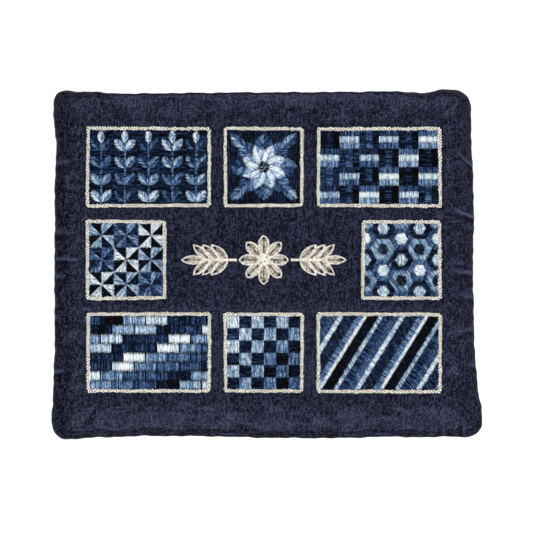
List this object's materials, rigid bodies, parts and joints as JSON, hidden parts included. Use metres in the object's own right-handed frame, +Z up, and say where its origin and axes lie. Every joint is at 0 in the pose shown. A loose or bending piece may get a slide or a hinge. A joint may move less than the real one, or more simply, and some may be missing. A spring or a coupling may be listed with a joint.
{
  "type": "tefillin bag",
  "caption": "Flat zipped cloth bag in navy slubbed silk, lying on its back, with stitched patchwork blocks in cream corded frames on its face and its mouth open along the top edge.",
  "frame": {"origin": "middle of the bag's outline, on the surface that it lies on", "axes": "+X across the bag to the right as its face is seen, +Y from the closed bottom edge to the mouth, +Z up out of the embroidered face"},
  "size_m": [0.24, 0.1954, 0.0155],
  "materials": {
    "navy_silk": "slubbed silk with a soft sheen",
    "cream_thread": "twisted and satin-stitched thread",
    "light_thread": "satin stitch",
    "middle_thread": "satin stitch",
    "deep_thread": "satin stitch",
    "zip_navy": "woven tape and nylon coil"
  },
  "bodies": {
    "root": {"front_panel": "navy_silk", "back_panel": "navy_silk", "zip_closure": "zip_navy", "leaves_stitching": "middle_thread", "leaves_cord": "cream_thread", "flower_stitching": "deep_thread", "flower_cord": "cream_thread", "basket_stitching": "light_thread", "basket_cord": "cream_thread", "pinwheel_stitching": "light_thread", "pinwheel_cord": "cream_thread", "honeycomb_stitching": "deep_thread", "honeycomb_cord": "cream_thread", "bricks_stitching": "light_thread", "bricks_cord": "cream_thread", "chequer_stitching": "middle_thread", "chequer_cord": "cream_thread", "stripes_stitching": "deep_thread", "stripes_cord": "cream_thread", "rosette": "cream_thread", "right_sprig": "cream_thread", "left_sprig": "cream_thread"}
  },
  "joints": []
}
